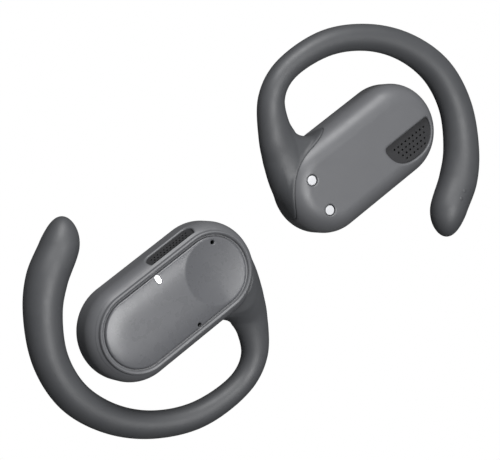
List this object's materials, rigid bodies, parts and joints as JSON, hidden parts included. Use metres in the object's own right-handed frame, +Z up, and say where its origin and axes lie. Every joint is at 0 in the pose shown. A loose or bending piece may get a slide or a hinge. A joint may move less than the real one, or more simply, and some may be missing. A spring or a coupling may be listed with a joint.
{
  "type": "open-ear hook headphones",
  "caption": "Pair of open-ear headphones: stadium-shaped pods with a dimpled touch panel, speaker grille and vent, each held by a flexible curling ear hook.",
  "frame": {"origin": "middle of the pair's footprint, on the table the pair lies on", "axes": "+Z up off the table, +X along the longer side of the footprint, +Y along its shorter side; the left earpiece is on the -X side with its touch panel up, the right one is on the +X side with its touch panel down"},
  "size_m": [0.0994, 0.0826, 0.014],
  "materials": {
    "shell": "satin moulded plastic, dark neutral grey",
    "panel": "smooth satin-gloss plastic, slightly lighter grey",
    "silicone": "matte liquid silicone, dark grey",
    "mesh": "dark perforated steel",
    "lens": "frosted light pipe, glowing white",
    "contact": "polished plated contact",
    "steel": "plain steel",
    "magnet": "nickel-plated magnet",
    "cell": "steel can of a coin cell",
    "shield": "stamped shield",
    "board": "green solder mask",
    "film": "dark polymer film",
    "copper": "enamelled copper wire",
    "foam": "closed-cell foam",
    "driver_plastic": "black moulded plastic"
  },
  "bodies": {
    "left_earpiece": {"left_pod_shell": "shell", "left_front_frame": "shell", "left_touch_panel": "panel", "left_led_lens": "lens", "left_side_vent_mesh": "mesh", "left_speaker_mesh": "mesh", "left_charging_contact_1": "contact", "left_charging_contact_2": "contact", "left_hook_root": "silicone", "left_hook_wire_root": "steel", "left_wire_anchor": "steel", "left_driver_gasket": "foam", "left_driver_basket": "driver_plastic", "left_driver_yoke": "steel", "left_driver_magnet": "magnet", "left_driver_top_plate": "steel", "left_battery_cell": "cell", "left_main_board": "board", "left_processor": "shield", "left_microphone_1": "shield", "left_microphone_2": "shield", "left_led_chip": "film", "left_touch_sensor": "film", "left_case_magnet": "magnet"},
    "left_hook_arm": {"left_hook_tail": "silicone", "left_hook_wire_tail": "steel", "left_wire_end_ferrule": "steel"},
    "left_driver_cone": {"left_diaphragm": "film", "left_voice_coil": "copper"},
    "right_earpiece": {"right_pod_shell": "shell", "right_front_frame": "shell", "right_touch_panel": "panel", "right_led_lens": "lens", "right_side_vent_mesh": "mesh", "right_speaker_mesh": "mesh", "right_charging_contact_1": "contact", "right_charging_contact_2": "contact", "right_hook_root": "silicone", "right_hook_wire_root": "steel", "right_wire_anchor": "steel", "right_driver_gasket": "foam", "right_driver_basket": "driver_plastic", "right_driver_yoke": "steel", "right_driver_magnet": "magnet", "right_driver_top_plate": "steel", "right_battery_cell": "cell", "right_main_board": "board", "right_processor": "shield", "right_microphone_1": "shield", "right_microphone_2": "shield", "right_led_chip": "film", "right_touch_sensor": "film", "right_case_magnet": "magnet"},
    "right_hook_arm": {"right_hook_tail": "silicone", "right_hook_wire_tail": "steel", "right_wire_end_ferrule": "steel"},
    "right_driver_cone": {"right_diaphragm": "film", "right_voice_coil": "copper"}
  },
  "joints": [
    {"name": "right_earpiece_lift", "type": "slide", "parent": "left_earpiece", "child": "right_earpiece", "axis": [0, 0, 1], "range_m": [0, 0.04]},
    {"name": "left_hook_flex", "type": "hinge", "parent": "left_earpiece", "child": "left_hook_arm", "pos_m": [-0.00761, -0.03412, 0.00535], "axis": [0, 0, 1], "range_deg": [-3, 16], "stiffness_Nm_per_rad": 0.03},
    {"name": "left_cone_travel", "type": "slide", "parent": "left_earpiece", "child": "left_driver_cone", "axis": [0, 0, 1], "range_m": [-0.00025, 0.00025], "stiffness_N_per_m": 400},
    {"name": "right_hook_flex", "type": "hinge", "parent": "right_earpiece", "child": "right_hook_arm", "pos_m": [0.00761, 0.03412, 0.00864], "axis": [0, 0, 1], "range_deg": [-3, 16], "stiffness_Nm_per_rad": 0.03},
    {"name": "right_cone_travel", "type": "slide", "parent": "right_earpiece", "child": "right_driver_cone", "axis": [0, 0, 1], "range_m": [-0.00025, 0.00025], "stiffness_N_per_m": 400}
  ]
}
